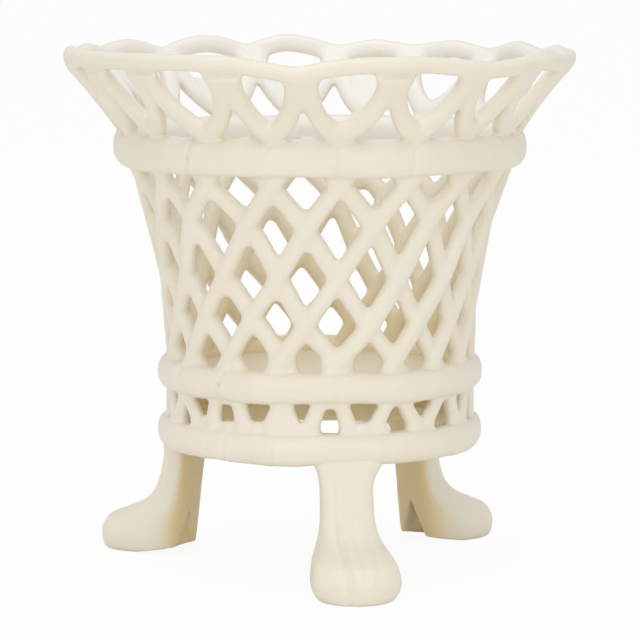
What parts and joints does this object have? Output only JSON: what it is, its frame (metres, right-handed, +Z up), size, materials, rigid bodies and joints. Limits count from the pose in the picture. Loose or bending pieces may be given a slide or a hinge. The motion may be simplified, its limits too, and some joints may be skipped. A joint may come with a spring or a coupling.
{
  "type": "footed planter",
  "caption": "Round openwork ceramic planter with a trellis wall, flared looped rim with a wavy edge, banded body and paw feet; holds a potted plant.",
  "frame": {"origin": "on the floor, under the middle of the pot", "axes": "+Z up along the pot's axis; the front, near one foot, faces -Y"},
  "size_m": [0.2772, 0.2772, 0.2831],
  "materials": {
    "cream_glaze": "satin"
  },
  "bodies": {
    "root": {"base_ring": "cream_glaze", "lower_band": "cream_glaze", "upper_band": "cream_glaze", "rim_hoop": "cream_glaze", "floor_plate": "cream_glaze", "foot_front": "cream_glaze", "foot_right_rear": "cream_glaze", "foot_left_rear": "cream_glaze", "outer_strand_01": "cream_glaze", "outer_strand_02": "cream_glaze", "outer_strand_03": "cream_glaze", "outer_strand_04": "cream_glaze", "outer_strand_05": "cream_glaze", "outer_strand_06": "cream_glaze", "outer_strand_07": "cream_glaze", "outer_strand_08": "cream_glaze", "outer_strand_09": "cream_glaze", "outer_strand_10": "cream_glaze", "outer_strand_11": "cream_glaze", "outer_strand_12": "cream_glaze", "outer_strand_13": "cream_glaze", "outer_strand_14": "cream_glaze", "outer_strand_15": "cream_glaze", "outer_strand_16": "cream_glaze", "outer_strand_17": "cream_glaze", "outer_strand_18": "cream_glaze", "inner_strand_01": "cream_glaze", "inner_strand_02": "cream_glaze", "inner_strand_03": "cream_glaze", "inner_strand_04": "cream_glaze", "inner_strand_05": "cream_glaze", "inner_strand_06": "cream_glaze", "inner_strand_07": "cream_glaze", "inner_strand_08": "cream_glaze", "inner_strand_09": "cream_glaze", "inner_strand_10": "cream_glaze", "inner_strand_11": "cream_glaze", "inner_strand_12": "cream_glaze", "inner_strand_13": "cream_glaze", "inner_strand_14": "cream_glaze", "inner_strand_15": "cream_glaze", "inner_strand_16": "cream_glaze", "inner_strand_17": "cream_glaze", "inner_strand_18": "cream_glaze", "rim_loops_01": "cream_glaze", "rim_loops_02": "cream_glaze", "rim_loops_03": "cream_glaze", "rim_loops_04": "cream_glaze", "rim_loops_05": "cream_glaze", "rim_loops_06": "cream_glaze", "skirt_zigzag_01": "cream_glaze", "skirt_zigzag_02": "cream_glaze", "skirt_zigzag_03": "cream_glaze"}
  },
  "joints": []
}
